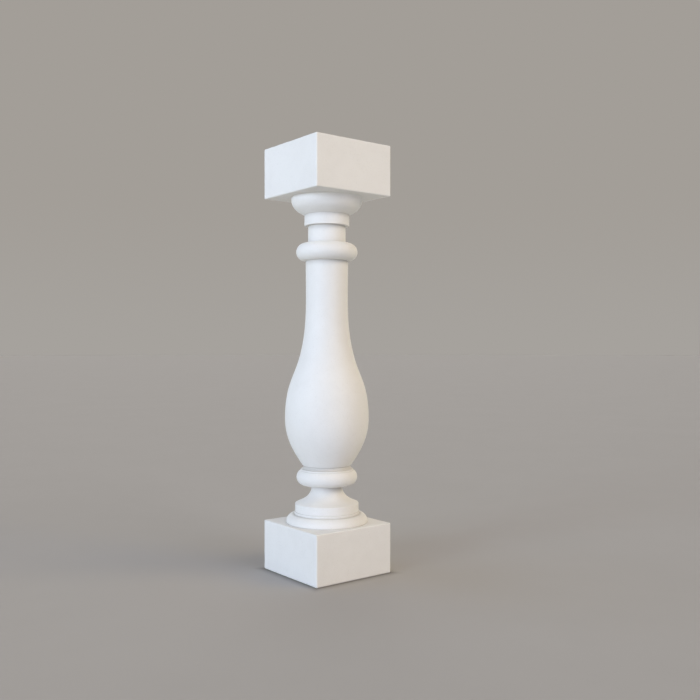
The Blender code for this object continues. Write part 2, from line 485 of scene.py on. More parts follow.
@dataclass(frozen=True)
class EasedOutline:
    """A profile whose corners are worn to small rounds, with points where the curve needs them.

    Attributes:
        fine: Spacing of the first dense points.
        ease: How far the easing reaches along the profile where it stands out.
        crease: How far it reaches in the hollow corners, which a tool leaves crisper.
        turn_deg: Turn of the profile between two kept points.
        longest: Largest spacing of two kept points.
        shortest: Smallest spacing of two kept points.
        least_gap: Spacing below which two rough points count as one.
        tail: How many times the easing's reach its weights run to.
        hollow_bend: Bend, in radians a metre, from which a hollow is left fully crisp.
        bend_window: Dense points over which the bend is averaged.
        blend_window: Dense points over which the change to crisp is spread.
        look_ahead: Dense points before and after a bend over which the points stay close.
        look_step: Step in which those are looked at.
    """

    fine: float = 0.00005
    ease: float = 0.00042
    crease: float = 0.00016
    turn_deg: float = 7.0
    longest: float = 0.0042
    shortest: float = 0.00022
    least_gap: float = 1e-7
    tail: int = 3
    hollow_bend: float = 300.0
    bend_window: int = 9
    blend_window: int = 15
    look_ahead: int = 24
    look_step: int = 4

    def dense(self, rough: Outline) -> Outline:
        """Returns the profile as evenly and closely spaced points."""
        steps = np.hypot(*np.diff(rough, axis=0).T)
        rough = rough[np.append(True, steps > self.least_gap)]
        run = np.append(0.0, np.cumsum(np.hypot(*np.diff(rough, axis=0).T)))
        at = np.arange(0.0, run[-1], self.fine)
        return np.stack([np.interp(at, run, rough[:, 0]), np.interp(at, run, rough[:, 1])], axis=1)

    def softened(self, points: Outline, ease: float) -> Outline:
        """Returns dense points with their corners rounded by an amount and both ends kept in place."""
        reach = int(self.tail * ease / self.fine)
        offsets = np.arange(-reach, reach + 1) * self.fine
        weights = np.exp(-0.5 * (offsets / ease) ** 2)
        weights /= weights.sum()
        first = 2 * points[0] - points[reach:0:-1]
        last = 2 * points[-1] - points[-2:-reach - 2:-1]
        padded = np.concatenate([first, points, last])
        return np.stack([np.convolve(padded[:, k], weights, "valid") for k in range(2)], axis=1)

    def bend(self, points: Outline) -> np.ndarray:
        """Returns the turn of dense points in radians a metre, negative where the stone is hollow."""
        tangent = np.gradient(points, axis=0)
        angle = np.unwrap(np.arctan2(tangent[:, 1], tangent[:, 0]))
        return averaged(np.gradient(angle) / self.fine, self.bend_window)

    def eased(self, rough: Outline) -> Outline:
        """Returns the dense profile, rounded at its corners and crisper where they are hollow."""
        points = self.dense(rough)
        soft, crisp = self.softened(points, self.ease), self.softened(points, self.crease)
        hollowness = np.clip(-self.bend(soft) / self.hollow_bend, 0.0, 1.0)
        share = averaged(hollowness, self.blend_window)[:, None]
        return (1 - share) * soft + share * crisp

    def kept(self, rough: Outline) -> tuple[Outline, np.ndarray]:
        """Gives the final points of the profile.

        Args:
            rough: The profile with sharp corners, from bottom to top.

        Returns:
            The points, and for each one the bend of the profile there in radians a metre, positive
            where the stone stands out and negative where it is hollow.
        """
        points = self.eased(rough)
        bend = self.bend(points)
        turn = math.radians(self.turn_deg)
        step = turn / np.clip(np.abs(bend), turn / self.longest, turn / self.shortest)
        shifts = range(-self.look_ahead, self.look_ahead + 1, self.look_step)
        step = np.min([np.roll(step, shift) for shift in shifts], axis=0)
        progress = np.cumsum(self.fine / step)
        count = math.ceil(progress[-1])
        picks = np.searchsorted(progress, np.linspace(0.0, progress[-1], count + 1)[1:-1])
        picks = np.unique(np.concatenate([[0], picks, [len(points) - 1]]))
        return points[picks], bend[picks]


@dataclass(frozen=True)
class Shelter:
    """How far the mouldings round a hollow keep light away from it, which sets the painted shade
    darkening the stone's colour there.

    Attributes:
        reach: Distance over which neighbouring stone counts.
        near: Distance below which it counts less, since a small ledge shelters little.
        from_below: How much stone below a place counts, against stone that hangs over it.
        spacing: Spacing of the places that stand for the neighbouring stone.
    """

    reach: float = 0.018
    near: float = 0.003
    from_below: float = 0.40
    spacing: float = 0.0004

    def covered(self, outline: Outline) -> np.ndarray:
        """Gives how much of its open side each point of an outline has covered.

        Args:
            outline: Rows of radius and height, from bottom to top.

        Returns:
            Values from 0 in the open to 1 in a closed slit.
        """
        run = np.append(0.0, np.cumsum(np.hypot(*np.diff(outline, axis=0).T)))
        at = np.arange(0.0, run[-1], self.spacing)
        stone = np.stack([np.interp(at, run, outline[:, 0]), np.interp(at, run, outline[:, 1])], axis=1)
        along = np.gradient(outline, axis=0)
        along /= np.hypot(*along.T)[:, None]
        out = np.stack([along[:, 1], -along[:, 0]], axis=1)
        gap = stone[None, :, :] - outline[:, None, :]
        hair = self.spacing / 10
        distance = np.hypot(gap[:, :, 0], gap[:, :, 1]) + hair
        lean = np.clip(np.einsum("ijk,ik->ij", gap, out) / distance, 0.0, 1.0)
        lean *= np.clip(1 - distance / self.reach, 0.0, 1.0)
        lean *= np.clip(distance / self.near, 0.0, 1.0)
        side = np.einsum("ijk,ik->ij", gap, along)
        above = np.where(side > 0, lean, 0.0).max(axis=1)
        below = np.where(side < 0, lean, 0.0).max(axis=1)
        return np.clip(above + self.from_below * below, 0.0, 1.0)


@dataclass(frozen=True)
class HandWork:
    """The slight unevenness that dressing and turning leave on stone.

    Attributes:
        swells: Wavelength and height of each layer of unevenness.
        arris_loss: How much the arrises are worn back where they are worn most.
        arris_run: Wavelength of that wear along an arris.
        arris_start: Where in the noise that wear is read.
        bed: Height above the ground over which the unevenness fades in.
    """

    swells: tuple[tuple[float, float], ...] = ((0.060, 0.00010), (0.019, 0.00004))
    arris_loss: float = 0.00030
    arris_run: float = 0.016
    arris_start: tuple[float, float, float] = (7.0, 3.0, 5.0)
    bed: float = 0.004

    def depth(self, place: Vector, arris: float) -> float:
        """Gives how far a point moves out along its normal.

        Args:
            place: The point.
            arris: How much of an arris it is, from 0 to 1.

        Returns:
            The move in metres, negative inwards.
        """
        total = sum(height * noise.noise(place / length) for length, height in self.swells)
        wear = max(0.0, noise.noise(place / self.arris_run + Vector(self.arris_start)))
        total -= self.arris_loss * arris * wear
        return total * min(1.0, max(0.0, place.z / self.bed))


@dataclass
class Baluster:
    """The whole baluster, one stone from the plinth's bed to the abacus's bed.

    Attributes:
        plan: How the rings' points are spread.
        easing: How the profile's corners are worn.
        hand_work: How uneven the surface is.
        shelter: How its hollows are sheltered, which sets the painted shade in them.
        plinth_height: Height of the plinth.
        plinth_arrises: Radii of the plinth's lower and upper arrises.
        abacus_arrises: Radii of the abacus's lower and upper arrises.
        bed_shares: Sizes of the rings inside a bed, as shares of the outermost one.
        flat_shares: Places of the rings between a block's arris and the mouldings, as shares of the way.
        arris_width: Distance from a block's edge over which its arris fades out.
        arris_bend: Bend of the profile, in radians a metre, that counts as a whole arris.
        arris_start: Share of that bend up to which nothing counts.
    """

    plan: RingPlan = field(default_factory=RingPlan)
    easing: EasedOutline = field(default_factory=EasedOutline)
    hand_work: HandWork = field(default_factory=HandWork)
    shelter: Shelter = field(default_factory=Shelter)
    plinth_height: float = 0.0817
    plinth_arrises: tuple[float, float] = (0.0024, 0.0017)
    abacus_arrises: tuple[float, float] = (0.0021, 0.0017)
    bed_shares: tuple[float, ...] = (0.12, 0.4, 0.7, 0.9, 0.985)
    flat_shares: tuple[float, ...] = (0.03, 0.15, 0.30, 0.45, 0.60, 0.72, 0.82, 0.90, 0.95, 0.98)
    arris_width: float = 0.0028
    arris_bend: float = 900.0
    arris_start: float = 0.25

    def __post_init__(self) -> None:
        """Places the sub-assemblies on each other, from the part's own box."""
        low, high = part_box(NODE)
        side = high.x - low.x
        self.base = BaseMouldings(low=low.z + self.plinth_height)
        self.shaft = VaseShaft(low=self.base.high, throat=self.base.throat)
        self.capital = Capital(low=self.shaft.high, vase_top=self.shaft.top[0])
        self.plinth = SquareBlock(side, low.z, self.base.low, *self.plinth_arrises)
        self.abacus = SquareBlock(side, self.capital.high, high.z, *self.abacus_arrises)

    def turned_profile(self) -> tuple[Outline, np.ndarray]:
        """Returns the eased profile between the blocks and its bend at each point."""
        strokes = {**self.base.strokes(), **self.shaft.strokes(), **self.capital.strokes()}
        ordered = [strokes[name] for name in Moulding if name in strokes]
        return self.easing.kept(np.concatenate(ordered))

    def rings(self) -> tuple[list[Ring], np.ndarray, np.ndarray]:
        """Gives every ring of the surface from the foot's middle to the head's middle.

        Returns:
            The rings, and for each one the bend of the turned profile there and how sheltered it is,
            which sets its painted shade.
        """
        plan, plinth, abacus = self.plan, self.plinth, self.abacus
        profile, bend = self.turned_profile()
        foot_face = plinth.ring(plinth.low_arris, plinth.low, plan)
        head_face = abacus.ring(abacus.high_arris, abacus.high, plan)
        bed = plinth.ring(plinth.high_arris, plinth.high, plan)
        soffit = abacus.ring(abacus.low_arris, abacus.low, plan)
        foot_circle = plan.circle(profile[0, 0], plinth.high)
        head_circle = plan.circle(profile[-1, 0], abacus.low)

        below = [foot_face * (share, share, 1.0) for share in self.bed_shares]
        below += plinth.low_rings(plan)
        below += plinth.upright_rings(plan)
        below += plinth.high_rings(plan)
        below += between(bed, foot_circle, self.flat_shares)

        turned = [plan.circle(radius, z) for radius, z in profile]

        above = between(head_circle, soffit, [1 - share for share in self.flat_shares[::-1]])
        above += abacus.low_rings(plan)
        above += abacus.upright_rings(plan)
        above += abacus.high_rings(plan)
        above += [head_face * (share, share, 1.0) for share in self.bed_shares[::-1]]

        flat_below, flat_above = np.zeros(len(below)), np.zeros(len(above))
        bends = np.concatenate([flat_below, bend, flat_above])
        plinth_edge = [[plinth.side / 2, plinth.high]]
        covered = self.shelter.covered(np.concatenate([plinth_edge, profile]))[1:]
        hollows = np.concatenate([flat_below, covered, flat_above])
        return below + turned + above, bends, hollows

    def block_arris(self, points: np.ndarray) -> np.ndarray:
        """Gives how much each point belongs to an arris of a block.

        Args:
            points: Places on the surface, as rows of x, y and z.

        Returns:
            Values from 0 on a flat to 1 on an arris.
        """
        mask = np.zeros(len(points))
        for block in (self.plinth, self.abacus):
            gaps = np.stack([
                np.abs(block.side / 2 - np.abs(points[:, 0])),
                np.abs(block.side / 2 - np.abs(points[:, 1])),
                np.minimum(np.abs(points[:, 2] - block.low), np.abs(block.high - points[:, 2])),
            ], axis=1)
            second_nearest = np.sort(gaps, axis=1)[:, 1]
            above = points[:, 2] > block.low - block.low_arris
            below = points[:, 2] < block.high + block.high_arris
            near = np.exp(-(second_nearest / self.arris_width) ** 2)
            mask = np.maximum(mask, np.where(above & below, near, 0.0))
        return mask

    def faces(self, ring_count: int) -> list[tuple[int, ...]]:
        """Gives the faces between the rings, and those from the outermost rings to the two middles.

        Args:
            ring_count: How many rings there are.

        Returns:
            The faces, as places in the list of points.
        """
        count = self.plan.count
        last_ring = 1 + (ring_count - 1) * count
        high_pole = last_ring + count
        pairs = [(i, (i + 1) % count) for i in range(count)]
        faces = [(0, 1 + j, 1 + i) for i, j in pairs]
        faces += [(high_pole, last_ring + i, last_ring + j) for i, j in pairs]
        for base in range(1, last_ring, count):
            above = base + count
            faces += [(base + i, base + j, above + j, above + i) for i, j in pairs]
        return faces

    def surface(self) -> bpy.types.Object:
        """Builds the fine mesh, with its arris mask and the hollow mask of its painted shade stored on
        its points.
        """
        rings, bends, hollows = self.rings()
        low_pole = np.array([[0.0, 0.0, self.plinth.low]])
        high_pole = np.array([[0.0, 0.0, self.abacus.high]])
        points = np.concatenate([low_pole, *rings, high_pole])

        bend, hollow = (np.pad(np.repeat(values, self.plan.count), 1) for values in (bends, hollows))
        turned_arris = np.clip(bend / self.arris_bend - self.arris_start, 0.0, 1.0)
        arris = np.maximum(self.block_arris(points), turned_arris)

        mesh = bpy.data.meshes.new("dressed_baluster")
        mesh.from_pydata(points.tolist(), [], self.faces(len(rings)))
        mesh.shade_smooth()
        normals = np.zeros(len(points) * 3, np.float32)
        mesh.vertices.foreach_get("normal", normals)
        normals = normals.reshape(-1, 3)
        for index, vertex in enumerate(mesh.vertices):
            vertex.co += Vector(normals[index]) * self.hand_work.depth(vertex.co, arris[index])
        # The hollow attribute is the mask of the painted shade in the stone's hollows.
        for name, values in (("arris", arris), ("hollow", hollow)):
            layer = mesh.attributes.new(name, "FLOAT", "POINT")
            layer.data.foreach_set("value", values.astype(np.float32))
        mesh.update()
        piece = bpy.data.objects.new("dressed_baluster", mesh)
        bpy.context.scene.collection.objects.link(piece)
        LOG.info("%s: %d rings, %d faces", piece.name, len(rings), len(mesh.polygons))
        return piece

    def build(self, finish: "StoneFinish") -> bpy.types.Object:
        """Builds the surface and dresses it.

        Args:
            finish: The stone.

        Returns:
            The finished piece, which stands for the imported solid.
        """
        piece = self.surface()
        piece.data.materials.append(finish.material())
        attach(piece, BODY)
        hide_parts(NODE)
        return piece


class Board:
    """Places and joins nodes in one node tree.

    Attributes:
        ROW: Nodes in a row of the tree's drawing.
        SPACING: Distance between its nodes, across and down.
        MIX_INPUTS: Places of a colour mix's share and its two colours among its inputs.
        MIX_OUTPUT: Place of the mixed colour among its outputs.
    """

    ROW = 6
    SPACING = (220, 240)
    MIX_INPUTS = (0, 6, 7)
    MIX_OUTPUT = 2

    def __init__(self, tree: bpy.types.NodeTree) -> None:
        """Keeps the tree and clears it."""
        self.tree = tree
        tree.nodes.clear()

    def add(self, kind: str, **values: object) -> bpy.types.Node:
        """Adds a node.

        Args:
            kind: The node's type name.
            **values: Properties of the node, or inputs by name, with spaces written as underscores.

        Returns:
            The node.
        """
        node = self.tree.nodes.new(kind)
        down, across = divmod(len(self.tree.nodes), self.ROW)
        node.location = (self.SPACING[0] * across, -self.SPACING[1] * down)
        for name, value in values.items():
            socket = name.replace("_", " ")
            if hasattr(node, name):
                setattr(node, name, value)
            else:
                self.feed(value, node.inputs[socket])
        return node

    def join(self, start: bpy.types.NodeSocket, end: bpy.types.NodeSocket) -> None:
        """Joins an output to an input."""
        self.tree.links.new(start, end)

    def feed(self, value: object, end: bpy.types.NodeSocket) -> None:
        """Joins an output to an input, or sets the input to a plain value."""
        if isinstance(value, bpy.types.NodeSocket):
            self.join(value, end)
        else:
            end.default_value = value

    def calc(self, operation: str, first: object, second: object,
             clamp: bool = False) -> bpy.types.NodeSocket:
        """Adds a Math node.

        Args:
            operation: Its operation.
            first: A socket or a number.
            second: A socket or a number.
            clamp: Whether the result is kept between 0 and 1.

        Returns:
            Its result.
        """
        node = self.tree.nodes.new("ShaderNodeMath")
        node.operation = operation
        node.use_clamp = clamp
        for slot, value in zip(node.inputs, (first, second)):
            self.feed(value, slot)
        return node.outputs[0]

    def band(self, value: bpy.types.NodeSocket, low: float, high: float) -> bpy.types.NodeSocket:
        """Returns the value stretched smoothly so that low becomes 0 and high becomes 1."""
        node = self.add("ShaderNodeMapRange", interpolation_type="SMOOTHSTEP", clamp=True,
                        Value=value, From_Min=low, From_Max=high)
        return node.outputs["Result"]

    def noise(self, place: bpy.types.NodeSocket, scale: object, detail: float,
              rough: float = 0.55) -> bpy.types.NodeSocket:
        """Gives a soft noise.

        Args:
            place: Where it is read.
            scale: Waves in a metre, as a number or a socket.
            detail: Its finer layers.
            rough: How strong those layers are.

        Returns:
            Its value, about 0.5 on average.
        """
        node = self.add("ShaderNodeTexNoise", Vector=place, Scale=scale, Detail=detail, Roughness=rough)
        return node.outputs["Fac"]

    def mix(self, share: object, first: object, second: object) -> bpy.types.NodeSocket:
        """Returns a colour part of the way from the first to the second."""
        node = self.tree.nodes.new("ShaderNodeMix")
        node.data_type = "RGBA"
        for place, value in zip(self.MIX_INPUTS, (share, first, second)):
            self.feed(value, node.inputs[place])
        return node.outputs[self.MIX_OUTPUT]


@dataclass(frozen=True)
class GroupSocket:
    """A named input or output of a node group.

    Attributes:
        name: Its name.
        kind: Its socket type, such as NodeSocketFloat.
        value: Its default, for an input.
    """

    name: str
    kind: str = "NodeSocketFloat"
    value: object = None


COLOUR = "NodeSocketColor"


def node_group(name: str, inputs: tuple[GroupSocket, ...], outputs: tuple[GroupSocket, ...],
               wire: Callable[[Board, bpy.types.Node, bpy.types.Node], None]) -> bpy.types.NodeTree:
    """Builds a node group once, and gives it again when it is asked for later.

    Args:
        name: The group's name.
        inputs: Its inputs.
        outputs: Its outputs.
        wire: Fills the group, from its input node to its output node.

    Returns:
        The group.
    """
    known = bpy.data.node_groups.get(name)
    if known is not None:
        return known
    tree = bpy.data.node_groups.new(name, "ShaderNodeTree")
    for wanted, side in ((inputs, "INPUT"), (outputs, "OUTPUT")):
        for item in wanted:
            socket = tree.interface.new_socket(name=item.name, in_out=side, socket_type=item.kind)
            if item.value is not None:
                socket.default_value = item.value
    board = Board(tree)
    wire(board, board.add("NodeGroupInput"), board.add("NodeGroupOutput"))
    return tree


def stone_clouds() -> bpy.types.NodeTree:
    """Returns the group that gives pale stone its faint clouds and flecks of colour."""
    finer, broad_share, middle_share = 4.3, 0.6, 0.4
    cloud_band, fleck_band = (0.36, 0.64), (0.60, 0.72)

    def wire(board: Board, given: bpy.types.Node, result: bpy.types.Node) -> None:
        """Fills the group."""
        place = board.add("ShaderNodeTexCoord").outputs["Object"]
        broad = board.noise(place, given.outputs["Cloud Scale"], detail=3.0)
        middle_scale = board.calc("MULTIPLY", given.outputs["Cloud Scale"], finer)
        middle = board.noise(place, middle_scale, detail=4.0, rough=0.6)
        broad_part = board.calc("MULTIPLY", broad, broad_share)
        cloud = board.calc("ADD", broad_part, board.calc("MULTIPLY", middle, middle_share))
        cloud = board.band(cloud, *cloud_band)
        share = board.calc("MULTIPLY", cloud, given.outputs["Cloud Strength"])
        colour = board.mix(share, given.outputs["Pale"], given.outputs["Deep"])
        fleck = board.noise(place, given.outputs["Fleck Scale"], detail=2.0, rough=0.5)
        fleck = board.calc("MULTIPLY", board.band(fleck, *fleck_band), given.outputs["Fleck Strength"])
        colour = board.mix(fleck, colour, given.outputs["Fleck"])
        board.join(colour, result.inputs["Color"])

    inputs = (
        GroupSocket("Pale", COLOUR, (0.8, 0.8, 0.8, 1.0)),
        GroupSocket("Deep", COLOUR, (0.7, 0.7, 0.7, 1.0)),
        GroupSocket("Fleck", COLOUR, (0.6, 0.6, 0.6, 1.0)),
        GroupSocket("Cloud Scale", value=14.0),
        GroupSocket("Cloud Strength", value=0.5),
        GroupSocket("Fleck Scale", value=420.0),
        GroupSocket("Fleck Strength", value=0.2),
    )
    return node_group("stone_clouds", inputs, (GroupSocket("Color", COLOUR),), wire)


def stone_grain() -> bpy.types.NodeTree:
    """Returns the group that gives stone its fine grain, its pores and its rubbed sheen."""
    swells_a_metre, sheen_patches_a_metre, pore_band = 70.0, 24.0, (0.66, 0.74)

    def wire(board: Board, given: bpy.types.Node, result: bpy.types.Node) -> None:
        """Fills the group."""
        place = board.add("ShaderNodeTexCoord").outputs["Object"]
        grain = board.noise(place, given.outputs["Grain Scale"], detail=4.0, rough=0.65)
        pore = board.noise(place, given.outputs["Pore Scale"], detail=2.0, rough=0.5)
        pore = board.calc("MULTIPLY", board.band(pore, *pore_band), given.outputs["Pore Depth"])
        swell = board.noise(place, swells_a_metre, detail=3.0, rough=0.5)
        grain_height = board.calc("MULTIPLY", grain, given.outputs["Grain Depth"])
        swell_height = board.calc("MULTIPLY", swell, given.outputs["Swell Depth"])
        height = board.calc("SUBTRACT", board.calc("ADD", grain_height, swell_height), pore)
        sheen = board.noise(place, sheen_patches_a_metre, detail=3.0, rough=0.6)
        sheen = board.calc("SUBTRACT", sheen, 0.5)
        spread = board.calc("MULTIPLY", sheen, given.outputs["Sheen Spread"])
        rough = board.calc("ADD", given.outputs["Roughness"], spread, clamp=True)
        board.join(height, result.inputs["Height"])
        board.join(rough, result.inputs["Roughness"])

    inputs = (
        GroupSocket("Grain Scale", value=900.0),
        GroupSocket("Grain Depth", value=0.4),
        GroupSocket("Pore Scale", value=260.0),
        GroupSocket("Pore Depth", value=0.5),
        GroupSocket("Swell Depth", value=0.5),
        GroupSocket("Roughness", value=0.6),
        GroupSocket("Sheen Spread", value=0.2),
    )
    outputs = (GroupSocket("Height"), GroupSocket("Roughness"))
    return node_group("stone_grain", inputs, outputs, wire)


def arris_rub_and_painted_shade() -> bpy.types.NodeTree:
    """Returns the group that makes arrises paler, as wear and as a painted highlight, and darkens
    sheltered hollows with painted shade.
    """
    patches_a_metre, patch_band, hollow_band = 60.0, (0.35, 0.65), (0.08, 0.75)

    def wire(board: Board, given: bpy.types.Node, result: bpy.types.Node) -> None:
        """Fills the group."""
        place = board.add("ShaderNodeTexCoord").outputs["Object"]
        arris = board.add("ShaderNodeAttribute", attribute_name="arris").outputs["Fac"]
        # The hollow attribute carries the mask of the painted shade.
        hollow = board.add("ShaderNodeAttribute", attribute_name="hollow").outputs["Fac"]
        patch = board.band(board.noise(place, patches_a_metre, detail=3.0, rough=0.6), *patch_band)
        # Arrises paler, partly from wear and partly as a painted highlight where they catch light.
        rub_highlight = board.calc("MULTIPLY", arris, patch)
        rub_highlight = board.calc("MULTIPLY", rub_highlight, given.outputs["Rub Strength"], clamp=True)
        # Painted shade: sheltered hollows darken towards a dark colour.
        painted_shade_share = board.band(hollow, *hollow_band)
        painted_shade_share = board.calc("MULTIPLY", painted_shade_share, given.outputs["Dust Strength"], clamp=True)
        colour = board.mix(rub_highlight, given.outputs["Color"], given.outputs["Rubbed"])
        colour = board.mix(painted_shade_share, colour, given.outputs["Dust"])
        board.join(colour, result.inputs["Color"])

    inputs = (
        GroupSocket("Color", COLOUR, (0.8, 0.8, 0.8, 1.0)),
        GroupSocket("Rubbed", COLOUR, (0.85, 0.85, 0.85, 1.0)),
        GroupSocket("Dust", COLOUR, (0.6, 0.6, 0.6, 1.0)),
        GroupSocket("Rub Strength", value=0.5),
        GroupSocket("Dust Strength", value=0.3),
    )
    return node_group("arris_rub_and_painted_shade", inputs, (GroupSocket("Color", COLOUR),), wire)


class Surface:
    """A new material while its nodes are being joined.

    Attributes:
        material: The material.
        board: The board of its nodes.
        shader: Its shader.
    """

    def __init__(self, name: str) -> None:
        """Starts a material with its shader joined to its output."""
        self.material = bpy.data.materials.new(name)
        self.material.use_nodes = True
        self.board = Board(self.material.node_tree)
        self.shader = self.board.add("ShaderNodeBsdfPrincipled", Metallic=0.0)
        self.board.add("ShaderNodeOutputMaterial", Surface=self.shader.outputs["BSDF"])

    def colour(self, value: bpy.types.NodeSocket) -> None:
        """Gives the shader its colour."""
        self.board.join(value, self.shader.inputs["Base Color"])

    def grain(self, strength: float, depth: float, **values: float) -> None:
        """Gives the shader its roughness and its fine relief.

        Args:
            strength: How much the relief shows.
            depth: Depth of the grain in metres.
            **values: Inputs of the grain group by name, with spaces written as underscores.
        """
        grain = self.board.add("ShaderNodeGroup", node_tree=stone_grain(), **values)
        bump = self.board.add("ShaderNodeBump", Strength=strength, Distance=depth,
                              Height=grain.outputs["Height"])
        self.board.join(grain.outputs["Roughness"], self.shader.inputs["Roughness"])
        self.board.join(bump.outputs["Normal"], self.shader.inputs["Normal"])


@dataclass(frozen=True)
class StoneFinish:
    """Smooth dressed pale stone, matte, with faint clouds, fine grain, eased arrises made slightly paler
    as wear and painted highlight, and painted shade in its hollows.

    Attributes:
        name: The material's name.
        pale: Its main colour.
        deep: The colour of its clouds.
        fleck: The colour of its small flecks.
        rub_highlight: The paler colour of its arrises, from wear and as a painted highlight where they
            catch light.
        painted_shade: The dark colour of the painted shade towards which its sheltered hollows go.
        cloud_scale: Clouds in a metre.
        cloud_strength: How much the clouds show.
        fleck_scale: Flecks in a metre.
        fleck_strength: How much the flecks show.
        roughness: Its mean roughness.
        sheen_spread: How far the roughness strays from that.
        grain_scale: Grains in a metre.
        grain_depth: How much the grain shows in the light.
        pore_scale: Pores in a metre.
        pore_depth: How much the pores show in the light.
        swell_depth: How much the broader unevenness shows in the light.
        bump_strength: How much all of these show.
        bump_distance: Depth of the grain in metres.
        rub_highlight_strength: How much paler the arrises are, as wear and as painted highlight.
        painted_shade_strength: How much the painted shade darkens the sheltered hollows.
    """

    name: str = "pale_stone"
    pale: tuple[float, float, float, float] = (0.800, 0.795, 0.780, 1.0)
    deep: tuple[float, float, float, float] = (0.752, 0.745, 0.728, 1.0)
    fleck: tuple[float, float, float, float] = (0.66, 0.645, 0.615, 1.0)
    # Paler colour of the arrises, from wear and as painted highlight.
    rub_highlight: tuple[float, float, float, float] = (0.825, 0.820, 0.806, 1.0)
    # Dark colour of the painted shade in the sheltered hollows.
    painted_shade: tuple[float, float, float, float] = (0.36, 0.34, 0.31, 1.0)
    cloud_scale: float = 13.0
    cloud_strength: float = 0.55
    fleck_scale: float = 430.0
    fleck_strength: float = 0.30
    roughness: float = 0.62
    sheen_spread: float = 0.16
    grain_scale: float = 1100.0
    grain_depth: float = 0.50
    pore_scale: float = 300.0
    pore_depth: float = 0.70
    swell_depth: float = 0.60
    bump_strength: float = 0.8
    bump_distance: float = 0.00016
    rub_highlight_strength: float = 0.30
    painted_shade_strength: float = 0.50

    def material(self) -> bpy.types.Material:
        """Returns the stone's material."""
        surface = Surface(self.name)
        board = surface.board
        clouds = board.add("ShaderNodeGroup", node_tree=stone_clouds(),
                           Pale=self.pale, Deep=self.deep, Fleck=self.fleck,
                           Cloud_Scale=self.cloud_scale, Cloud_Strength=self.cloud_strength,
                           Fleck_Scale=self.fleck_scale, Fleck_Strength=self.fleck_strength)
        # Arrises paler as wear and painted highlight; hollows darkened with painted shade.
        wear = board.add("ShaderNodeGroup", node_tree=arris_rub_and_painted_shade(), Color=clouds.outputs["Color"],
                         Rubbed=self.rub_highlight, Rub_Strength=self.rub_highlight_strength,
                         Dust=self.painted_shade, Dust_Strength=self.painted_shade_strength)
        surface.colour(wear.outputs["Color"])
        surface.grain(self.bump_strength, self.bump_distance,
                      Grain_Scale=self.grain_scale, Grain_Depth=self.grain_depth,
                      Pore_Scale=self.pore_scale, Pore_Depth=self.pore_depth,
                      Swell_Depth=self.swell_depth,
                      Roughness=self.roughness, Sheen_Spread=self.sheen_spread)
        return surface.material


def foot_shade() -> bpy.types.NodeTree:
    """Returns the group that finds the floor near the stone, for its painted shade, and the strip along
    the plinth's foot, for its painted contact shadow.
    """
    strip_fall, round_band = 2.0, (0.1, 1.0)

    def wire(board: Board, given: bpy.types.Node, result: bpy.types.Node) -> None:
        """Fills the group."""
        place = board.add("ShaderNodeTexCoord").outputs["Object"]
        parts = board.add("ShaderNodeSeparateXYZ", Vector=place).outputs
        across = board.calc("ABSOLUTE", parts["X"], 0.0)
        along = board.calc("ABSOLUTE", parts["Y"], 0.0)
        furthest = board.calc("MAXIMUM", across, along)
        gap = board.calc("SUBTRACT", furthest, given.outputs["Half Side"])
        gap = board.calc("DIVIDE", gap, given.outputs["Reach"])
        near = board.calc("POWER", board.calc("SUBTRACT", 1.0, gap, clamp=True), strip_fall)
        board.join(board.calc("MULTIPLY", near, given.outputs["Strength"]), result.inputs["Shade"])
        distance = board.add("ShaderNodeVectorMath", operation="LENGTH", Vector=place).outputs["Value"]
        share = board.calc("DIVIDE", distance, given.outputs["Round Reach"])
        board.join(board.band(share, *round_band), result.inputs["Away"])

    inputs = (
        GroupSocket("Half Side", value=0.075),
        GroupSocket("Reach", value=0.03),
        GroupSocket("Strength", value=0.3),
        GroupSocket("Round Reach", value=0.8),
    )
    outputs = (GroupSocket("Shade"), GroupSocket("Away"))
    return node_group("foot_shade", inputs, outputs, wire)


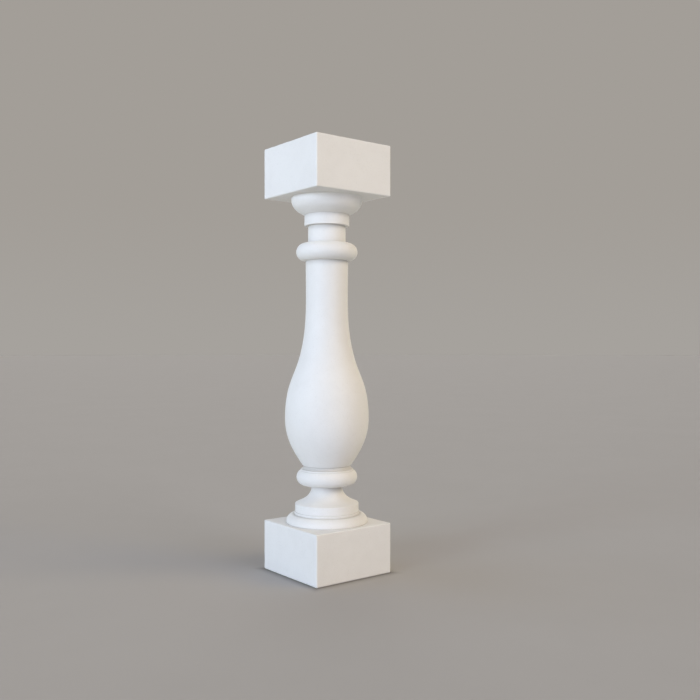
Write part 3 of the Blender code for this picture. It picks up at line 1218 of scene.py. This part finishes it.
@dataclass(frozen=True)
class FloorFinish:
    """Plain pale floor with a soft matte skin, with a painted contact shadow along the plinth's foot and
    painted shade close round the stone.

    Attributes:
        pale: Its main colour.
        deep: The colour of its clouds.
        cloud_scale: Clouds in a metre.
        cloud_strength: How much the clouds show.
        near: Its darker colour close round the stone, painted shade.
        round_reach: Distance from the stone's middle at which it lights the stone as from afar.
        near_end: Share of the way there at which its seen colour is the main one.
        glow: The colour with which it lights the stone from afar.
        near_glow: The colour with which it lights the stone from close by.
        foot: The dark colour of the painted contact shadow along the foot.
        foot_reach: Width of that strip.
        foot_strength: How much that strip shows.
        sheen: How much of the studio its skin reflects.
        roughness: Its mean roughness.
        sheen_spread: How far the roughness strays from that.
        grain_depth: How much its grain shows in the light.
        swell_depth: How much its broader unevenness shows in the light.
        bump_strength: How much both of these show.
        bump_distance: Depth of the grain in metres.
    """

    pale: tuple[float, float, float, float] = (0.450, 0.439, 0.431, 1.0)
    deep: tuple[float, float, float, float] = (0.436, 0.425, 0.417, 1.0)
    cloud_scale: float = 3.0
    cloud_strength: float = 0.5
    # Darker floor colour close round the stone, painted shade.
    near: tuple[float, float, float, float] = (0.438, 0.422, 0.410, 1.0)
    round_reach: float = 0.8
    near_end: float = 0.45
    glow: tuple[float, float, float, float] = (0.740, 0.745, 0.725, 1.0)
    near_glow: tuple[float, float, float, float] = (0.420, 0.415, 0.400, 1.0)
    # Dark colour of the painted contact shadow along the plinth's foot.
    foot: tuple[float, float, float, float] = (0.180, 0.170, 0.160, 1.0)
    foot_reach: float = 0.018
    foot_strength: float = 0.80
    sheen: float = 0.02
    roughness: float = 0.7
    sheen_spread: float = 0.1
    grain_depth: float = 0.2
    swell_depth: float = 0.2
    bump_strength: float = 0.3
    bump_distance: float = 0.0002

    def material(self) -> bpy.types.Material:
        """Returns the floor's material."""
        surface = Surface("pale_floor")
        surface.shader.inputs["Specular IOR Level"].default_value = self.sheen
        board = surface.board
        clouds = board.add("ShaderNodeGroup", node_tree=stone_clouds(), Pale=self.pale, Deep=self.deep,
                           Cloud_Scale=self.cloud_scale, Cloud_Strength=self.cloud_strength,
                           Fleck_Strength=0.0)
        shade = board.add("ShaderNodeGroup", node_tree=foot_shade(), Reach=self.foot_reach,
                          Strength=self.foot_strength, Round_Reach=self.round_reach)
        # Painted shade: the floor the camera sees is darker close round the stone.
        main_share = board.band(shade.outputs["Away"], 0.0, self.near_end)
        seen = board.mix(main_share, self.near, clouds.outputs["Color"])
        # Painted contact shadow along the plinth's foot.
        seen = board.mix(shade.outputs["Shade"], seen, self.foot)
        glow = board.mix(shade.outputs["Away"], self.near_glow, self.glow)
        from_camera = board.add("ShaderNodeLightPath").outputs["Is Camera Ray"]
        surface.colour(board.mix(from_camera, glow, seen))
        surface.grain(self.bump_strength, self.bump_distance,
                      Grain_Depth=self.grain_depth, Pore_Depth=0.0, Swell_Depth=self.swell_depth,
                      Roughness=self.roughness, Sheen_Spread=self.sheen_spread)
        return surface.material


@dataclass(frozen=True)
class Floor:
    """The plain floor that the baluster stands on.

    Attributes:
        radius: How far it reaches.
        sides: Straight sides of its edge.
        finish: Its finish.
    """

    radius: float = 40.0
    sides: int = 96
    finish: FloorFinish = field(default_factory=FloorFinish)

    def build(self) -> bpy.types.Object:
        """Returns the floor."""
        bpy.ops.mesh.primitive_circle_add(vertices=self.sides, radius=self.radius, fill_type="NGON")
        floor = bpy.context.active_object
        floor.name = "studio_floor"
        floor.data.materials.append(self.finish.material())
        return floor


@dataclass(frozen=True)
class SoftLight:
    """A broad soft light far off, so that it falls evenly on the stone and the floor.

    Attributes:
        name: Its name.
        round_deg: Where it comes from, in degrees round the baluster from -Y towards +X.
        above_deg: How high it stands above the horizon.
        wide_deg: How wide it looks from the baluster.
        light: Its strength in watts a square metre, as red, green and blue.
    """

    name: str
    round_deg: float
    above_deg: float
    wide_deg: float
    light: tuple[float, float, float]

    def build(self) -> bpy.types.Object:
        """Returns the light, turned to shine from its direction."""
        data = bpy.data.lights.new(self.name, "SUN")
        data.angle = math.radians(self.wide_deg)
        data.energy = max(self.light)
        data.color = [part / data.energy for part in self.light]
        light = bpy.data.objects.new(self.name, data)
        across, above = math.radians(self.round_deg), math.radians(self.above_deg)
        level = math.cos(above)
        source = Vector((math.sin(across) * level, -math.cos(across) * level, math.sin(above)))
        light.rotation_euler = source.to_track_quat("Z", "Y").to_euler()
        bpy.context.scene.collection.objects.link(light)
        return light


@dataclass(frozen=True)
class Studio:
    """The plain studio: an even pale surround and a few soft lights.

    Attributes:
        surround: Colour of the surround.
        low_surround: Its colour low down, where it meets the floor.
        low_rise: Height of a direction, as the sine of its angle, at which the main colour is reached.
        strength: Its strength.
        lights: The soft lights.
    """

    surround: tuple[float, float, float, float] = (0.366, 0.342, 0.314, 1.0)
    low_surround: tuple[float, float, float, float] = (0.381, 0.361, 0.337, 1.0)
    low_rise: float = 0.18
    strength: float = 1.0
    lights: tuple[SoftLight, ...] = (
        SoftLight("cool_window", -85.0, 5.0, 30.0, (1.695, 2.127, 2.481)),
        SoftLight("cool_corner", -60.0, 5.0, 30.0, (0.499, 0.443, 0.681)),
        SoftLight("soft_front", 10.0, 32.0, 30.0, (0.595, 0.567, 0.572)),
        SoftLight("warm_lamp", 40.0, 32.0, 30.0, (0.824, 0.652, 0.365)),
        SoftLight("cool_back", -140.0, 60.0, 30.0, (0.154, 0.223, 0.341)),
        SoftLight("back_fill", 145.0, 8.0, 60.0, (0.80, 0.78, 0.74)),
    )

    def build(self) -> None:
        """Sets the surround, the lights and a plain view of the light's own values."""
        scene = bpy.context.scene
        world = bpy.data.worlds.new("surround")
        world.use_nodes = True
        board = Board(world.node_tree)
        output = board.add("ShaderNodeOutputWorld")
        direction = board.add("ShaderNodeTexCoord").outputs["Generated"]
        rise = board.add("ShaderNodeSeparateXYZ", Vector=direction).outputs["Z"]
        colour = board.mix(board.band(rise, 0.0, self.low_rise), self.low_surround, self.surround)
        shade = board.add("ShaderNodeBackground", Color=colour, Strength=self.strength)
        board.join(shade.outputs["Background"], output.inputs["Surface"])
        scene.world = world
        scene.view_settings.view_transform = "Standard"
        for light in self.lights:
            light.build()


@dataclass(frozen=True)
class PhotoCamera:
    """The camera at the photograph's viewing angle.

    Attributes:
        lens: Focal length in millimetres.
        sensor: Width of the sensor in millimetres.
        distance: How far the turning axis is from the camera, along the view.
        offset: How far the turning axis stands to the left of the view's middle.
        height: Its height above the floor.
        yaw_deg: How far the view is turned from +Y towards +X.
        rise: Vertical shift of the frame.
        clip: Nearest and furthest distance that it sees.
    """

    lens: float = 43.248
    sensor: float = 36.0
    distance: float = 1.39249
    offset: float = 0.03829
    height: float = 0.36973
    yaw_deg: float = 37.96
    rise: float = -0.0039
    clip: tuple[float, float] = (0.05, 100.0)

    def build(self) -> bpy.types.Object:
        """Returns the camera, which is made the scene's own."""
        yaw = math.radians(self.yaw_deg)
        ahead = Vector((math.sin(yaw), math.cos(yaw), 0.0))
        right = Vector((math.cos(yaw), -math.sin(yaw), 0.0))
        data = bpy.data.cameras.new("photo_camera")
        data.sensor_width = self.sensor
        data.lens = self.lens
        data.shift_y = self.rise
        data.clip_start, data.clip_end = self.clip
        camera = bpy.data.objects.new("photo_camera", data)
        camera.location = self.offset * right - self.distance * ahead
        camera.location.z = self.height
        camera.rotation_euler = (math.radians(90.0), 0.0, -yaw)
        bpy.context.scene.collection.objects.link(camera)
        bpy.context.scene.camera = camera
        return camera


def main() -> None:
    """Builds the camera, the studio, the floor and the baluster."""
    logging.basicConfig(level=logging.INFO, format="%(name)s: %(message)s")
    PhotoCamera().build()
    Studio().build()
    Floor().build()
    piece = Baluster().build(StoneFinish())
    LOG.info("%s stands for %s", piece.name, NODE)


if __name__ == "__main__":
    main()
